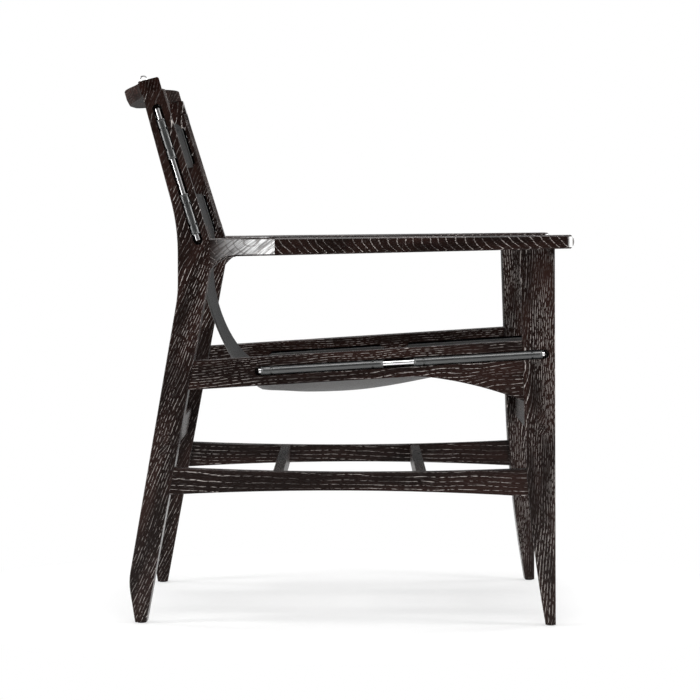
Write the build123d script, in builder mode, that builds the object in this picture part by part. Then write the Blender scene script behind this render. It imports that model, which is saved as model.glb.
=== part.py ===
from build123d import *
import os
from math import asin, atan, atan2, cos, degrees, hypot, pi, radians, sin, tan

# Sling leather easy chair: two splayed side frames in limed dark oak, joined by cross rails, a bowed
# crest rail and two floor bars, with one leather sheet hung from four steel rods in the side frames.
# The front faces -Y, X runs across the chair and Z is up. The origin is on the floor under the middle.
# Places in a side frame are given as forward, ahead of the chair's middle along the frame, and height.

# Overall stance
overall_depth = 742.0            # arm noses to the back of the crest rail
front_width = 682.0              # over the outer faces at the front edge of the front feet
rear_width = 614.0               # over the outer faces at the rear edge of the rear feet
cut_overrun = 20.0               # how far a cutting body runs past what it cuts
edge_bevel = 1.3                 # bevel on the long arrises of the wood
hand_bevel = 2.4                 # bevel on the arrises of the arms, where the hand lies
fit_gap = 0.2                    # radial play between a rod and its leather sleeve
leather_gap = 0.4                # play of leather in a groove, and behind it in a slit
slit_play = 3.6                  # play on the sitter's side of the leather in a slit

# Rear post: one boomerang-shaped board, raked leg below the arm and leaning back above it
post_thickness = 30.0
post_toe_back = 317.3            # front edge of the foot behind the chair's middle
post_foot_length = 18.0
post_heel_back = 345.8
post_heel_height = 67.0
post_heel_round = 100.0
arm_joint_back = 213.5           # upright flat that the arm butts against
arm_joint_low = 569.7
arm_joint_high = 621.3
knee_width = 52.1
knee_rear_low = 531.0
knee_low_round = 220.0
knee_rear_high = 642.0
knee_high_round = 330.0
back_lean = 17.3                 # degrees, upper part from the upright
post_top_front_height = 862.6
post_top_run = 34.0              # level depth of the top, under the crest rail
cant_depth = 7.0                 # bevel on the front face behind the sitter's shoulders
cant_low_share = 0.102           # ends of that bevel, up the leaning part of the post
cant_high_share = 0.848
cant_low_run = 8.0               # how much further the bevel runs at the inner face, at each end
cant_high_run = 15.0

# Front leg
leg_thickness = post_thickness
leg_top_rear = 283.0
leg_top_front = 340.0
leg_shoulder_forward = 291.0
leg_shoulder_height = 350.0
leg_curve_bulge = 7.0
leg_foot_rear = 326.0
leg_foot_front = 342.4

# Glides under the four feet
glide_diameter = 13.0
glide_height = 2.0

# Arm: a paddle that flares outboard ahead of the rear post
arm_front_top = 627.2
arm_front_thickness = 21.6
arm_rear_thickness = 29.2
arm_nose_swell = 5.4             # how far the front end bulges between its top and bottom edges
arm_flare = 20.0                 # paddle stands this far outside the side frame
arm_bracket_turn = 60.0          # edges steeper than this are left crisp
arm_cove_start_back = 171.0      # the deepened rear end that meets the post ends here too
arm_cove_end_back = 107.8
arm_nose_round = 11.0

# Side seat rail
rail_thickness = 28.0
rail_rear_top = 424.4
rail_slope = 3.57                # degrees, rising to the front
rail_depth = 46.6
bracket_start = 124.0            # where the underside leaves the straight and drops to the leg
bracket_bulge = 6.2
bracket_round = 160.0
bracket_low = 361.0

# Side stretcher, waisted
stretcher_thickness = 24.0
stretcher_inset = 3.0            # outer face behind the outer faces of post and leg
stretcher_end_top = 252.6
stretcher_end_low = 207.0
stretcher_waist_top = 245.2
stretcher_waist_low = 215.9

# Bars across the floor frame, between the stretchers
bar_thickness = 16.8
rear_bar_back = 104.5
front_bar_forward = 127.4
bar_tenon_thickness = 9.0
bar_tenon_height = 17.0
bar_tenon_length = 12.0

# Cross rails with tenons that run through post and leg and are cut flush
cross_rail_thickness = 22.0
through_tenon_thickness = 12.0
front_rail_forward = 319.4
front_rail_low = 298.5
front_rail_height = 56.0
front_tenon_low = 307.4
front_tenon_height = 37.2
rear_rail_back = 287.0
rear_rail_low = 270.5
rear_rail_height = 47.5
rear_tenon_low = 271.8
rear_tenon_height = 32.6

# Hidden stub tenons at the ends of seat rails, stretchers and arms
stub_thickness = 9.0
stub_length = 18.0
stub_shoulder = 8.0              # least wood above and below a stub tenon
arm_stub_width = 24.0
arm_stub_height = 13.0

# Crest rail: a bowed rail on top of the posts, bowed in the plane of its own underside
crest_slope = 18.0               # degrees, the underside falling to the rear
crest_set_back = 2.6             # behind the front edge of the post
crest_depth = 33.4
crest_front_height = 20.0
crest_rear_height = 22.4
crest_top_lean = 16.0            # degrees, front and rear faces from the upright
crest_mid_rise = 8.0             # how much higher its top is at mid-length
crest_bevel_height = 15.0        # long round low on the rear face, full size at mid-length
crest_bevel_depth = 8.5
crest_bevel_end_share = 0.08     # what is left of that round at the ends
crest_round_share = 0.28         # where the middle of the round stands, off the square corner
crest_stub_height = 9.0
crest_stub_depth = 18.0

# Wire loops on the ends of the crest rail
loop_wire = 2.2
loop_wire_sides = 6
loop_width = 10.4                # between the middles of its legs
loop_rise = 7.4
loop_root = 5.0
loop_forward_share = 0.26        # middle of the loop along the top of the end, from the rear
loop_inset = 9.0

# Rods in the outer faces, and the grooves they lie in
rod_diameter = 10.0
rod_depth = 5.6                  # rod axis below the outer face
rod_end_bevel = 1.8
groove_width = 15.2
groove_end_play = 5.5
back_rod_set_back = 20.2         # level distance behind the leaning front edge of the post
back_rod_top_share = 0.872       # its top end, up the leaning part of the post
back_rod_length_share = 0.892    # its length along that part
seat_rod_rear_back = 136.5
seat_rod_rear_height = 408.0
seat_rod_length = 463.0
seat_rod_slope = 3.53            # degrees, rising to the front

# Leather: sleeves round the rods, tabs through slits, and the sheet between the frames
leather_thickness = 3.0
sleeve_diameter = 13.9
sleeve_lip_diameter = 14.7
sleeve_lip_length = 1.8
tab_thickness = 5.0              # two layers sewn together
tab_lap = 12.0                   # how far a tab is sewn on to the sheet
back_sleeve_shares = (0.0887, 0.3838, 0.6486, 0.9459)    # ends of the sleeves along their rods
seat_sleeve_shares = (0.0121, 0.4359, 0.5430, 0.9888)
sheet_side_gap = 3.0             # between the sheet's edge and the inner faces of the frames
sheet_overhang = 4.0             # the back runs this far past the ends of its sleeves
notch_depth = 60.0               # the sheet's edge is cut back this far between two tabs
notch_round_share = 0.32         # radius of its corners, as a share of its length
notch_set_in = 5.0               # the sheet runs this far past the end of a sleeve before the notch
back_dish = 26.0                 # how far the back hangs behind its rods at mid-width, at the top
seat_dish = 54.0                 # how far the seat hangs below its rods at mid-width
heel_back = 139.0                # low rear corner of the seat, at mid-width
heel_height = 364.5
# Stations of the back along its tabs, from the top: place and dish, both as shares
back_stations_shares = ((0.0, 1.0), (0.5, 0.88), (1.0, 0.7))
steps_between = 2                # sections from one station of the waist to the next
# Stations of the sheet from the lower back tab to the heel: forward and down as shares of that run,
# half-width as a share of the clear half-width, and dish as a share of the seat's dish
waist_stations_shares = (
    (0.07, 0.11, 0.86, 0.28),
    (0.15, 0.22, 0.70, 0.21),
    (0.25, 0.36, 0.58, 0.15),
    (0.39, 0.52, 0.51, 0.11),
    (0.54, 0.68, 0.56, 0.12),
    (0.70, 0.82, 0.70, 0.20),
    (0.84, 0.925, 0.84, 0.38),
    (0.95, 0.98, 0.93, 0.62),
)
# Stations of the seat from heel to front edge: place along the seat rod and dish, both as shares
seat_stations_shares = (
    (0.0, 0.82),
    (0.07, 0.885),
    (0.15, 0.96),
    (0.26, 1.0),
    (0.36, 0.99),
    (0.47, 0.91),
    (0.60, 0.76),
    (0.73, 0.585),
    (0.86, 0.42),
    (1.0, 0.30),
)

# Values worked out from the sizes above
splay = asin((front_width - rear_width) / 2 / (leg_foot_front + post_heel_back))
mid_half_width = rear_width / 2 + post_heel_back * sin(splay)
forward_dir = Vector(-sin(splay), -cos(splay), 0)
outward_dir = Vector(-cos(splay), sin(splay), 0)
right_face = Plane(origin=(-mid_half_width, 0, 0), x_dir=forward_dir, z_dir=outward_dir)
left_face = Plane(
    origin=(mid_half_width, 0, 0),
    x_dir=(-forward_dir.X, forward_dir.Y, 0),
    z_dir=(-outward_dir.X, outward_dir.Y, 0),
)
plan_plane = Plane(origin=right_face.origin, x_dir=forward_dir, z_dir=(0, 0, 1))

post_rake_run = (post_toe_back - arm_joint_back) / (arm_joint_low - glide_height)
post_rake = degrees(atan(post_rake_run))


def bevel_loss(bevel, lean):
    """How far a bevelled corner falls back from the sharp one, over a face that leans out by an angle."""
    return bevel * sin(lean)


arm_nose = overall_depth / 2 / cos(splay) - (post_thickness - arm_nose_round) * tan(splay)
arm_top_rise = (arm_front_top - arm_joint_high) / (arm_nose + arm_joint_back)
arm_bracket_end = -arm_cove_start_back
rail_rise = tan(radians(rail_slope))


def post_front(height):
    """Front edge of the rear post below the arm."""
    return -arm_joint_back - (arm_joint_low - height) * post_rake_run


def arm_top(forward):
    return arm_joint_high + (forward + arm_joint_back) * arm_top_rise


def arm_underside(forward):
    """Straight underside of the arm ahead of its rear bracket."""
    share = (forward - arm_bracket_end) / (arm_nose - arm_bracket_end)
    return arm_top(forward) - arm_rear_thickness + (arm_rear_thickness - arm_front_thickness) * share


def leg_rear(height):
    """Rear edge of the front leg above its shoulder."""
    share = (arm_underside(leg_top_rear) - height) / (arm_underside(leg_top_rear) - leg_shoulder_height)
    return leg_top_rear + (leg_shoulder_forward - leg_top_rear) * share


rail_rear_end = post_front(rail_rear_top)


def rail_top(forward):
    return rail_rear_top + (forward - rail_rear_end) * rail_rise


def in_frame(forward, height, depth=0.0):
    """A point of the right side frame, depth below its outer face."""
    return right_face.from_local_coords(Vector(forward, height, -depth))


def frame_block(forward, height, length, depth, start, end, tilt=0.0, mode=Mode.ADD):
    """A block lying in the right side frame between two depths below its outer face."""
    with BuildSketch(right_face.offset(-start)) as outline:
        with Locations((forward, height)):
            Rectangle(length, depth, rotation=tilt)
    extrude(outline.sketch, amount=start - end, mode=mode)


def cross_piece(forward, height, thickness, depth, tilt, inset, tenon=False):
    """A straight piece across the chair, or a tenon at each of its ends, cut to the side frames' planes."""
    with BuildPart() as piece:
        with BuildSketch(Plane.YZ):
            with Locations((-forward * cos(splay), height)):
                Rectangle(thickness, depth, rotation=tilt)
        extrude(amount=front_width / 2 + cut_overrun, both=True)
        if not tenon:
            chamfer(long_edges(piece.part, front_width), edge_bevel)
        split(bisect_by=right_face.offset(-inset), keep=Keep.BOTTOM)
        split(bisect_by=left_face.offset(-inset), keep=Keep.BOTTOM)
    return piece


def end_plane(low, high):
    """Plane square to the side frame through two of its points, facing forward when low is below high."""
    origin = in_frame(*low)
    return Plane(origin=origin, x_dir=outward_dir, z_dir=(in_frame(*high) - origin).cross(outward_dir))


def long_edges(part, least_length):
    return part.edges().filter_by(lambda edge: edge.length > least_length)


def forward_of(edge):
    """How far an edge's middle lies forward along the right side frame."""
    return right_face.to_local_coords(edge.center()).X


def mirrored(piece):
    with BuildPart() as twin:
        mirror(piece.part, about=Plane.YZ)
    return twin


# Places of the rods and sleeves in the right side frame
back_axis = (sin(radians(back_lean)), -cos(radians(back_lean)))
seat_axis = (cos(radians(seat_rod_slope)), sin(radians(seat_rod_slope)))
post_lean_rise = post_top_front_height - arm_joint_high


def lean_front(share):
    """A point on the leaning front edge of the rear post, at a share of the way up it."""
    rise = share * post_lean_rise
    return (-arm_joint_back - rise * tan(radians(back_lean)), arm_joint_high + rise)


back_rod_start = (lean_front(back_rod_top_share)[0] - back_rod_set_back, lean_front(back_rod_top_share)[1])
back_rod_length = back_rod_length_share * post_lean_rise / cos(radians(back_lean))
back_sleeve_places = [share * back_rod_length for share in back_sleeve_shares]
seat_rod_start = (-seat_rod_rear_back, seat_rod_rear_height)
seat_sleeve_places = [share * seat_rod_length for share in seat_sleeve_shares]
slit_width = tab_thickness + leather_gap + slit_play
groove_floor = rod_depth + sleeve_lip_diameter / 2 + leather_gap / 2


def along(start, axis, distance):
    return (start[0] + axis[0] * distance, start[1] + axis[1] * distance)


def cut_groove(start, axis, length):
    """The round-ended groove for a rod, in whichever piece is being built."""
    middle = along(start, axis, length / 2)
    with BuildSketch(right_face.offset(cut_overrun)) as outline:
        with Locations(middle):
            turn = degrees(atan2(axis[1], axis[0]))
            SlotOverall(length + 2 * groove_end_play, groove_width, rotation=turn)
    extrude(outline.sketch, amount=-cut_overrun - groove_floor, mode=Mode.SUBTRACT)


def cut_slits(start, axis, places):
    """Through slits for the leather tabs, wider than the leather towards the sitter."""
    for first, last in zip(places[0::2], places[1::2]):
        middle = along(start, axis, (first + last) / 2)
        frame_block(
            *along(middle, (-axis[1], axis[0]), (slit_play - leather_gap) / 2),
            last - first + 2 * leather_gap,
            slit_width,
            groove_floor - leather_gap,
            post_thickness + cut_overrun,
            degrees(atan2(axis[1], axis[0])),
            Mode.SUBTRACT,
        )


# Rear post
post_top_front = (
    -arm_joint_back - (post_top_front_height - arm_joint_high) * tan(radians(back_lean)),
    post_top_front_height,
)
post_top_rear = (
    post_top_front[0] - post_top_run,
    post_top_front[1] - post_top_run * tan(radians(crest_slope)),
)
post_heel = (-post_heel_back, post_heel_height)
knee_low = (-arm_joint_back - knee_width, knee_rear_low)
knee_high = (-arm_joint_back - knee_width, knee_rear_high)
rear_edge_run = (knee_high[0] - post_top_rear[0]) / (post_top_rear[1] - knee_rear_high)
crest_joint = Plane(
    origin=(0, in_frame(*post_top_front).Y, post_top_front_height),
    x_dir=(1, 0, 0),
    z_dir=(0, sin(radians(crest_slope)), cos(radians(crest_slope))),
)

stub_start = (post_thickness - stub_thickness) / 2
stub_end = (post_thickness + stub_thickness) / 2


def stub_tenon(forward, height, length, depth, tilt, mode):
    """A hidden tenon, half of its length in each of the two pieces that it joins."""
    frame_block(forward, height, length, depth, stub_start, stub_end, tilt, mode)


def rail_rear_stub(mode=Mode.ADD):
    height = rail_rear_top - rail_depth / 2
    stub_tenon(post_front(height), height, 2 * stub_length, rail_depth - 2 * stub_shoulder, -post_rake, mode)


def rail_front_stub(mode=Mode.ADD):
    high = along(seat_rod_start, seat_axis, seat_rod_length)[1] - groove_width / 2 - stub_shoulder
    low = bracket_low + stub_shoulder
    middle = (high + low) / 2
    stub_tenon(leg_rear(middle), middle, 2 * stub_length, high - low, 0.0, mode)


def stretcher_stub(forward, tilt, mode=Mode.ADD):
    middle = (stretcher_end_top + stretcher_end_low) / 2
    depth = stretcher_end_top - stretcher_end_low - 2 * stub_shoulder
    stub_tenon(forward, middle, 2 * stub_length, depth, tilt, mode)


def stretcher_rear_stub(mode=Mode.ADD):
    stretcher_stub(post_front((stretcher_end_top + stretcher_end_low) / 2), -post_rake, mode)


def stretcher_front_stub(mode=Mode.ADD):
    stretcher_stub(leg_curve_middle[0], 0.0, mode)


def arm_rear_stub(mode=Mode.ADD):
    stub_tenon(
        -arm_joint_back, (arm_joint_low + arm_joint_high) / 2, 2 * stub_length, arm_stub_width, 0.0, mode
    )


def arm_front_stub(mode=Mode.ADD):
    middle = (leg_top_rear + leg_top_front) / 2
    stub_tenon(middle, arm_underside(middle), arm_stub_width, 2 * arm_stub_height, 0.0, mode)


# Stub tenon on top of the post, square to the crest rail's underside
with BuildPart() as crest_stub:
    stub_tenon(
        (post_top_front[0] + post_top_rear[0]) / 2,
        (post_top_front[1] + post_top_rear[1]) / 2,
        crest_stub_depth,
        2 * crest_stub_height,
        crest_slope,
        Mode.ADD,
    )


# Cross rails and floor bars, and their tenons
rear_rail_middle = rear_rail_low + rear_rail_height / 2
rear_tenon_middle = rear_tenon_low + rear_tenon_height / 2
rear_tenon_forward = -rear_rail_back + (rear_tenon_middle - rear_rail_middle) * post_rake_run
rear_rail_body = cross_piece(
    -rear_rail_back, rear_rail_middle, cross_rail_thickness, rear_rail_height, post_rake, post_thickness
)
rear_rail_tenon = cross_piece(
    rear_tenon_forward, rear_tenon_middle, through_tenon_thickness, rear_tenon_height, post_rake, 0.0, True
)
front_rail_body = cross_piece(
    front_rail_forward,
    front_rail_low + front_rail_height / 2,
    cross_rail_thickness,
    front_rail_height,
    0.0,
    leg_thickness,
)
front_rail_tenon = cross_piece(
    front_rail_forward,
    front_tenon_low + front_tenon_height / 2,
    through_tenon_thickness,
    front_tenon_height,
    0.0,
    0.0,
    True,
)

with BuildPart() as rear_cross_rail:
    add(rear_rail_body.part)
    add(rear_rail_tenon.part)

with BuildPart() as front_cross_rail:
    add(front_rail_body.part)
    add(front_rail_tenon.part)

bar_inset = stretcher_inset + stretcher_thickness
bar_depth = stretcher_waist_top - stretcher_waist_low
bar_middle = (stretcher_waist_top + stretcher_waist_low) / 2
bar_places = {"stretcher_bar_rear": -rear_bar_back, "stretcher_bar_front": front_bar_forward}
bars = {}
bar_tenons = {}
for name, forward in bar_places.items():
    body = cross_piece(forward, bar_middle, bar_thickness, bar_depth, 0.0, bar_inset)
    bar_tenons[name] = cross_piece(
        forward, bar_middle, bar_tenon_thickness, bar_tenon_height, 0.0, bar_inset - bar_tenon_length, True
    )
    with BuildPart() as bars[name]:
        add(body.part)
        add(bar_tenons[name].part)

# Stopped bevel that turns the post's front face towards the sitter, its ends running out inwards
with BuildPart() as cant_cut:
    cant_start = in_frame(*lean_front(cant_low_share))
    cant_up = in_frame(-sin(radians(back_lean)), cos(radians(back_lean))) - right_face.origin
    cant_length = (cant_high_share - cant_low_share) * post_lean_rise / cos(radians(back_lean))
    with BuildSketch(Plane(origin=cant_start - cant_up * cant_low_run, x_dir=-outward_dir, z_dir=cant_up)):
        with BuildLine():
            Polyline((0, 0), (post_thickness, cant_depth), (post_thickness, -cut_overrun), close=True)
        make_face()
    extrude(amount=cant_low_run + cant_length + cant_high_run)
    with BuildSketch(Plane(origin=cant_start, x_dir=-outward_dir, z_dir=(-outward_dir).cross(cant_up))):
        with BuildLine():
            Polyline(
                (0, 0),
                (post_thickness, -cant_low_run),
                (post_thickness, cant_length + cant_high_run),
                (0, cant_length),
                close=True,
            )
        make_face()
    extrude(amount=cut_overrun, both=True, mode=Mode.INTERSECT)

# Rear posts
with BuildPart() as rear_post_right:
    with BuildSketch(right_face) as post_outline:
        with BuildLine():
            Polyline(
                (-post_toe_back, glide_height),
                (-arm_joint_back, arm_joint_low),
                (-arm_joint_back, arm_joint_high),
                (post_top_front[0] - cut_overrun * tan(radians(back_lean)), post_top_front[1] + cut_overrun),
                (post_top_rear[0] - cut_overrun * rear_edge_run, post_top_rear[1] + cut_overrun),
                knee_high,
                knee_low,
                post_heel,
                (-post_toe_back - post_foot_length, glide_height),
                close=True,
            )
        make_face()
        for corner, round_radius in (
            (knee_high, knee_high_round),
            (knee_low, knee_low_round),
            (post_heel, post_heel_round),
        ):
            fillet(post_outline.vertices().sort_by_distance(Vector(*corner))[0], round_radius)
    extrude(amount=-post_thickness)
    chamfer(long_edges(rear_post_right.part, knee_width), edge_bevel)
    split(bisect_by=crest_joint, keep=Keep.BOTTOM)
    top_corner = in_frame(*post_top_front, post_thickness / 2)
    fillet(rear_post_right.edges().sort_by_distance(top_corner)[0], crest_set_back)
    add(cant_cut.part, mode=Mode.SUBTRACT)
    cut_groove(back_rod_start, back_axis, back_rod_length)
    cut_slits(back_rod_start, back_axis, back_sleeve_places)
    add(rear_rail_tenon.part, mode=Mode.SUBTRACT)
    rail_rear_stub(Mode.SUBTRACT)
    stretcher_rear_stub(Mode.SUBTRACT)
    arm_rear_stub(Mode.SUBTRACT)
    add(crest_stub.part)

# Front legs
leg_curve_middle = (
    (leg_shoulder_forward + leg_foot_rear) / 2 - leg_curve_bulge,
    (leg_shoulder_height + glide_height) / 2,
)
with BuildPart() as front_leg_right:
    with BuildSketch(right_face):
        with BuildLine():
            Line((leg_top_rear, arm_underside(leg_top_rear)), (leg_shoulder_forward, leg_shoulder_height))
            ThreePointArc(
                (leg_shoulder_forward, leg_shoulder_height), leg_curve_middle, (leg_foot_rear, glide_height)
            )
            Line((leg_foot_rear, glide_height), (leg_foot_front, glide_height))
            Line((leg_foot_front, glide_height), (leg_top_front, arm_underside(leg_top_front)))
            Line((leg_top_front, arm_underside(leg_top_front)), (leg_top_rear, arm_underside(leg_top_rear)))
        make_face()
    extrude(amount=-leg_thickness)
    chamfer(long_edges(front_leg_right.part, leg_top_front - leg_top_rear + edge_bevel), edge_bevel)
    cut_groove(seat_rod_start, seat_axis, seat_rod_length)
    cut_slits(seat_rod_start, seat_axis, seat_sleeve_places)
    add(front_rail_tenon.part, mode=Mode.SUBTRACT)
    rail_front_stub(Mode.SUBTRACT)
    stretcher_front_stub(Mode.SUBTRACT)
    arm_front_stub()

# Planes that rails and stretchers are cut to
post_front_plane = end_plane((post_front(glide_height), glide_height), (-arm_joint_back, arm_joint_low))
leg_shoulder = (leg_shoulder_forward, leg_shoulder_height)
leg_rear_plane = end_plane(leg_shoulder, (leg_top_rear, arm_underside(leg_top_rear)))

# Side seat rails, straight at the rear and dropping into a bracket at the leg
with BuildPart() as seat_rail_right:
    bracket_top = rail_top(bracket_start) - rail_depth
    bracket_middle = (
        (bracket_start + leg_rear(bracket_low)) / 2,
        (bracket_top + bracket_low) / 2 + bracket_bulge,
    )
    rear_stock = rail_rear_end - stub_length
    front_stock = leg_shoulder_forward + stub_length
    with BuildSketch(right_face) as rail_outline:
        with BuildLine():
            underside = ThreePointArc(
                (bracket_start, bracket_top), bracket_middle, (leg_rear(bracket_low), bracket_low)
            )
            Polyline(
                underside @ 1,
                underside @ 1 + underside % 1 * (front_stock - leg_rear(bracket_low)),
                (front_stock, rail_top(front_stock)),
                (rear_stock, rail_top(rear_stock)),
                (rear_stock, rail_top(rear_stock) - rail_depth),
                (bracket_start, bracket_top),
            )
        make_face()
        bracket_corner = rail_outline.vertices().sort_by_distance(Vector(bracket_start, bracket_top))[0]
        fillet(bracket_corner, bracket_round)
    extrude(amount=-rail_thickness)
    rail_end_depth = rail_top(front_stock) - bracket_low
    chamfer(long_edges(seat_rail_right.part, rail_end_depth + 2 * stub_length), edge_bevel)
    split(bisect_by=post_front_plane, keep=Keep.TOP)
    split(bisect_by=leg_rear_plane, keep=Keep.BOTTOM)
    cut_groove(seat_rod_start, seat_axis, seat_rod_length)
    cut_slits(seat_rod_start, seat_axis, seat_sleeve_places)
    rail_rear_stub()
    rail_front_stub()

# Side stretchers, waisted between post and leg
with BuildPart() as stretcher_right:
    waist_forward = (post_front(stretcher_end_top) + leg_shoulder_forward) / 2
    rear_stock = post_front(stretcher_end_low) - stub_length
    with BuildSketch(right_face.offset(-stretcher_inset)):
        with BuildLine():
            ThreePointArc(
                (rear_stock, stretcher_end_top),
                (waist_forward, stretcher_waist_top),
                (front_stock, stretcher_end_top),
            )
            Line((front_stock, stretcher_end_top), (front_stock, stretcher_end_low))
            ThreePointArc(
                (front_stock, stretcher_end_low),
                (waist_forward, stretcher_waist_low),
                (rear_stock, stretcher_end_low),
            )
            Line((rear_stock, stretcher_end_low), (rear_stock, stretcher_end_top))
        make_face()
    extrude(amount=-stretcher_thickness)
    chamfer(long_edges(stretcher_right.part, stretcher_end_top - stretcher_end_low + edge_bevel), edge_bevel)
    split(bisect_by=post_front_plane, keep=Keep.TOP)
    with BuildSketch(right_face.offset(cut_overrun)):
        with BuildLine():
            ThreePointArc(
                (leg_shoulder_forward, leg_shoulder_height), leg_curve_middle, (leg_foot_rear, glide_height)
            )
            Polyline(
                (leg_foot_rear, glide_height),
                (leg_foot_front, glide_height),
                (leg_foot_front, leg_shoulder_height),
                (leg_shoulder_forward, leg_shoulder_height),
            )
        make_face()
    extrude(amount=-cut_overrun - post_thickness, mode=Mode.SUBTRACT)
    for tenon in bar_tenons.values():
        add(tenon.part, mode=Mode.SUBTRACT)
    stretcher_rear_stub()
    stretcher_front_stub()

# Arms
with BuildPart() as arm_right:
    nose_back = arm_nose - arm_nose_swell
    nose_top = (nose_back, arm_top(nose_back))
    nose_low = (nose_back, arm_underside(nose_back))
    nose_middle = (arm_nose, (nose_top[1] + nose_low[1]) / 2)
    underside_fall = arm_underside(arm_bracket_end) - arm_underside(arm_nose)
    with BuildSketch(right_face.offset(arm_flare)):
        with BuildLine():
            Polyline(
                (-arm_joint_back, arm_joint_low),
                (-arm_joint_back, arm_joint_high),
                nose_top,
            )
            ThreePointArc(nose_top, nose_middle, nose_low)
            Line(nose_low, (arm_bracket_end, arm_underside(arm_bracket_end)))
            TangentArc(
                (arm_bracket_end, arm_underside(arm_bracket_end)),
                (-arm_joint_back, arm_joint_low),
                tangent=(arm_bracket_end - arm_nose, underside_fall),
            )
        make_face()
    extrude(amount=-arm_flare - post_thickness)
    with BuildSketch(plan_plane.offset(arm_joint_low - cut_overrun)) as arm_plan:
        with BuildLine():
            Line((-arm_joint_back, post_thickness), (-arm_joint_back, 0))
            Line((-arm_joint_back, 0), (-arm_cove_start_back, 0))
            TangentArc((-arm_cove_start_back, 0), (-arm_cove_end_back, -arm_flare), tangent=(1, 0))
            Polyline(
                (-arm_cove_end_back, -arm_flare),
                (arm_nose, -arm_flare),
                (arm_nose, post_thickness),
                (-arm_joint_back, post_thickness),
            )
        make_face()
        for side in (-arm_flare, post_thickness):
            fillet(arm_plan.vertices().sort_by_distance(Vector(arm_nose, side))[0], arm_nose_round)
    extrude(amount=arm_front_top - arm_joint_low + 2 * cut_overrun, mode=Mode.INTERSECT)
    level_edges = arm_right.edges().filter_by(
        lambda edge: abs(edge.tangent_at(0.5).Z) < sin(radians(arm_bracket_turn))
    )
    hand_edges = level_edges.filter_by(
        lambda edge: edge_bevel - arm_joint_back < forward_of(edge) < nose_back - arm_nose_round
        and abs(forward_of(edge) - arm_bracket_end) > edge_bevel
    )
    chamfer(hand_edges, hand_bevel)
    add(front_leg_right.part, mode=Mode.SUBTRACT)
    arm_rear_stub()

# Crest rail
crest_front_low = (
    in_frame(*post_top_front).Y + crest_set_back * cos(radians(crest_slope)),
    post_top_front_height - crest_set_back * sin(radians(crest_slope)),
)
crest_end_x = -in_frame(*post_top_front).X


def crest_offset(start, along_slope, up_lean):
    """A point of the rail's section from another: rearwards down the underside, then up the lean."""
    return (
        start[0] + along_slope * cos(radians(crest_slope)) + up_lean * sin(radians(crest_top_lean)),
        start[1] - along_slope * sin(radians(crest_slope)) + up_lean * cos(radians(crest_top_lean)),
    )


crest_end_rear = crest_offset(crest_front_low, crest_depth, crest_rear_height + crest_mid_rise)
crest_reach_back = overall_depth / 2 + bevel_loss(edge_bevel, radians(crest_top_lean))
crest_bow = (crest_reach_back - crest_end_rear[0]) / cos(radians(crest_slope))


def crest_section(across):
    """Corners of the crest rail's section at a distance from the middle of the chair."""
    bow_share = (1 + cos(pi * across / crest_end_x)) / 2
    bevel_share = crest_bevel_end_share + (1 - crest_bevel_end_share) * bow_share
    front_low = crest_offset(crest_front_low, crest_bow * bow_share, 0)
    rear_low = crest_offset(front_low, crest_depth, 0)
    rear_high = crest_offset(rear_low, 0, crest_rear_height + crest_mid_rise * bow_share)
    front_high = crest_offset(front_low, 0, crest_front_height + crest_mid_rise * bow_share)
    top_run = (front_high[0] - rear_high[0], front_high[1] - rear_high[1])
    top_inset = edge_bevel / hypot(*top_run)
    return [
        crest_offset(front_low, edge_bevel, 0),
        crest_offset(front_low, crest_depth - crest_bevel_depth * bevel_share, 0),
        crest_offset(
            rear_low,
            -crest_bevel_depth * bevel_share * crest_round_share,
            crest_bevel_height * bevel_share * crest_round_share,
        ),
        crest_offset(rear_low, 0, crest_bevel_height * bevel_share),
        crest_offset(rear_high, 0, -edge_bevel),
        (rear_high[0] + top_run[0] * top_inset, rear_high[1] + top_run[1] * top_inset),
        (front_high[0] - top_run[0] * top_inset, front_high[1] - top_run[1] * top_inset),
        crest_offset(front_high, 0, -edge_bevel),
        crest_offset(front_low, 0, edge_bevel),
    ]


# Wire loops standing on the ends of the crest rail
loop_across = crest_end_x - loop_inset
loop_section = crest_section(loop_across)
loop_top = loop_section[-4:-2]
loop_run = (loop_top[1][0] - loop_top[0][0], loop_top[1][1] - loop_top[0][1])
loop_unit = (loop_run[0] / hypot(*loop_run), loop_run[1] / hypot(*loop_run))


def loop_point(run, rise):
    """A point of the wire's middle line, from the loop's middle on the rail's top."""
    return (
        loop_top[0][0] + loop_run[0] * loop_forward_share + loop_unit[0] * run + loop_unit[1] * rise,
        loop_top[0][1] + loop_run[1] * loop_forward_share + loop_unit[1] * run - loop_unit[0] * rise,
    )


with BuildPart() as crest_loop_right:
    with BuildLine(Plane.YZ.offset(-loop_across)) as loop_line:
        shoulder = loop_rise - loop_width / 2
        Line(loop_point(-loop_width / 2, -loop_root), loop_point(-loop_width / 2, shoulder))
        ThreePointArc(
            loop_point(-loop_width / 2, shoulder),
            loop_point(0, loop_rise),
            loop_point(loop_width / 2, shoulder),
        )
        Line(loop_point(loop_width / 2, shoulder), loop_point(loop_width / 2, -loop_root))
    with BuildSketch(Plane(origin=loop_line.line @ 0, z_dir=loop_line.line % 0)):
        RegularPolygon(loop_wire / 2, loop_wire_sides)
    sweep()

crest_loop_left = mirrored(crest_loop_right)

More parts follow.
